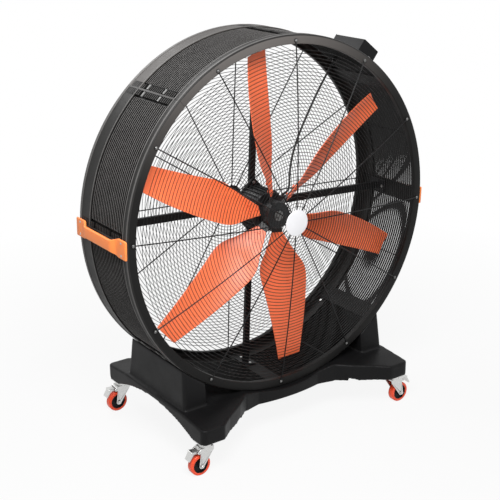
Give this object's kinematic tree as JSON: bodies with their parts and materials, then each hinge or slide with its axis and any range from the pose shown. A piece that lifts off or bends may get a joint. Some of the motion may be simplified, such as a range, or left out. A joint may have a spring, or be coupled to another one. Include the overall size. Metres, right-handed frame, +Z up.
{
  "type": "drum fan",
  "caption": "Large drum fan on a wheeled base: guarded round drum, orange blades, centre disc, side handles and a control box on the rim.",
  "frame": {"origin": "On the floor under the middle of the base.", "axes": "+Z up, air is blown towards -Y, +X to the right as seen from the front."},
  "size_m": [1.6927, 0.856, 1.8468],
  "materials": {
    "base_black": "black rotationally moulded plastic with a fine satin grain",
    "shell_black": "black moulded plastic with a soft sheen",
    "black_steel": "black powder-coated steel",
    "guard_black": "black powder-coated steel wire",
    "disc_white": "glossy white plastic, blank",
    "blade_orange": "glossy orange-red moulded plastic",
    "handle_orange": "orange moulded plastic with a soft sheen",
    "motor_black": "black painted castings",
    "bare_steel": "bare machined steel",
    "zinc_steel": "bright zinc-plated pressed steel",
    "core_black": "black moulded nylon",
    "tread_orange": "orange-red polyurethane tread",
    "trim_black": "black moulded trim plastic",
    "cable_black": "black rubber cable sheath",
    "box_black": "black powder-coated sheet steel"
  },
  "bodies": {
    "frame": {"base": "base_black", "front_ring": "shell_black", "rear_ring": "shell_black", "drum_struts": "black_steel", "side_grilles": "shell_black", "seam_clips": "zinc_steel", "front_guard": "guard_black", "rear_guard": "guard_black", "guard_screws": "zinc_steel", "centre_disc": "disc_white", "support_upright": "black_steel", "support_crossbars": "black_steel", "motor_plate": "black_steel", "motor_housing": "motor_black", "motor_cover": "motor_black", "motor_bearings": "bare_steel", "motor_stator": "bare_steel", "handle_right": "handle_orange", "handle_left": "handle_orange", "control_box": "box_black", "control_panel": "box_black", "cable_glands": "trim_black", "panel_screws": "zinc_steel", "motor_cable": "cable_black", "castor_tops": "zinc_steel", "frame_bolts": "zinc_steel"},
    "rotor": {"motor_shaft": "bare_steel", "motor_core": "bare_steel", "fan_hub": "motor_black", "blade_bolts": "zinc_steel", "hub_bolt": "zinc_steel", "fan_blade_1": "blade_orange", "fan_blade_2": "blade_orange", "fan_blade_3": "blade_orange", "fan_blade_4": "blade_orange", "fan_blade_5": "blade_orange", "fan_blade_6": "blade_orange"},
    "knob": {"speed_knob": "trim_black"},
    "rocker": {"power_switch": "trim_black"},
    "swivel_front_left": {"castor_fork_front_left": "zinc_steel", "castor_axle_front_left": "zinc_steel"},
    "wheel_front_left": {"castor_wheel_front_left": "core_black", "castor_tyre_front_left": "tread_orange"},
    "pedal_front_left": {"brake_pedal_front_left": "zinc_steel"},
    "swivel_front_right": {"castor_fork_front_right": "zinc_steel", "castor_axle_front_right": "zinc_steel"},
    "wheel_front_right": {"castor_wheel_front_right": "core_black", "castor_tyre_front_right": "tread_orange"},
    "pedal_front_right": {"brake_pedal_front_right": "zinc_steel"},
    "swivel_rear_left": {"castor_fork_rear_left": "zinc_steel", "castor_axle_rear_left": "zinc_steel"},
    "wheel_rear_left": {"castor_wheel_rear_left": "core_black", "castor_tyre_rear_left": "tread_orange"},
    "pedal_rear_left": {"brake_pedal_rear_left": "zinc_steel"},
    "swivel_rear_right": {"castor_fork_rear_right": "zinc_steel", "castor_axle_rear_right": "zinc_steel"},
    "wheel_rear_right": {"castor_wheel_rear_right": "core_black", "castor_tyre_rear_right": "tread_orange"},
    "pedal_rear_right": {"brake_pedal_rear_right": "zinc_steel"}
  },
  "joints": [
    {"name": "rotor_spin", "type": "hinge", "parent": "frame", "child": "rotor", "pos_m": [0, -0.15, 1.027], "axis": [0, 1, 0], "continuous": true},
    {"name": "knob_turn", "type": "hinge", "parent": "frame", "child": "knob", "pos_m": [0.52552, 0.075, 1.73114], "axis": [0, 1, 0], "range_deg": [0, 270]},
    {"name": "switch_rock", "type": "hinge", "parent": "frame", "child": "rocker", "pos_m": [0.56319, 0.065, 1.70139], "axis": [0.6198, 0, 0.7848], "range_deg": [-16, 0]},
    {"name": "castor_swivel_front_left", "type": "hinge", "parent": "frame", "child": "swivel_front_left", "pos_m": [-0.556, -0.372, 0.137], "axis": [0, 0, 1], "continuous": true},
    {"name": "wheel_roll_front_left", "type": "hinge", "parent": "swivel_front_left", "child": "wheel_front_left", "pos_m": [-0.59, -0.372, 0.05], "axis": [0, 1, 0], "continuous": true},
    {"name": "brake_press_front_left", "type": "hinge", "parent": "swivel_front_left", "child": "pedal_front_left", "pos_m": [-0.602, -0.372, 0.1185], "axis": [0, -1, 0], "range_deg": [0, 12]},
    {"name": "castor_swivel_front_right", "type": "hinge", "parent": "frame", "child": "swivel_front_right", "pos_m": [0.556, -0.372, 0.137], "axis": [0, 0, 1], "continuous": true},
    {"name": "wheel_roll_front_right", "type": "hinge", "parent": "swivel_front_right", "child": "wheel_front_right", "pos_m": [0.59, -0.372, 0.05], "axis": [0, 1, 0], "continuous": true},
    {"name": "brake_press_front_right", "type": "hinge", "parent": "swivel_front_right", "child": "pedal_front_right", "pos_m": [0.602, -0.372, 0.1185], "axis": [0, 1, 0], "range_deg": [0, 12]},
    {"name": "castor_swivel_rear_left", "type": "hinge", "parent": "frame", "child": "swivel_rear_left", "pos_m": [-0.556, 0.372, 0.137], "axis": [0, 0, 1], "continuous": true},
    {"name": "wheel_roll_rear_left", "type": "hinge", "parent": "swivel_rear_left", "child": "wheel_rear_left", "pos_m": [-0.59, 0.372, 0.05], "axis": [0, 1, 0], "continuous": true},
    {"name": "brake_press_rear_left", "type": "hinge", "parent": "swivel_rear_left", "child": "pedal_rear_left", "pos_m": [-0.602, 0.372, 0.1185], "axis": [0, -1, 0], "range_deg": [0, 12]},
    {"name": "castor_swivel_rear_right", "type": "hinge", "parent": "frame", "child": "swivel_rear_right", "pos_m": [0.556, 0.372, 0.137], "axis": [0, 0, 1], "continuous": true},
    {"name": "wheel_roll_rear_right", "type": "hinge", "parent": "swivel_rear_right", "child": "wheel_rear_right", "pos_m": [0.59, 0.372, 0.05], "axis": [0, 1, 0], "continuous": true},
    {"name": "brake_press_rear_right", "type": "hinge", "parent": "swivel_rear_right", "child": "pedal_rear_right", "pos_m": [0.602, 0.372, 0.1185], "axis": [0, 1, 0], "range_deg": [0, 12]}
  ]
}
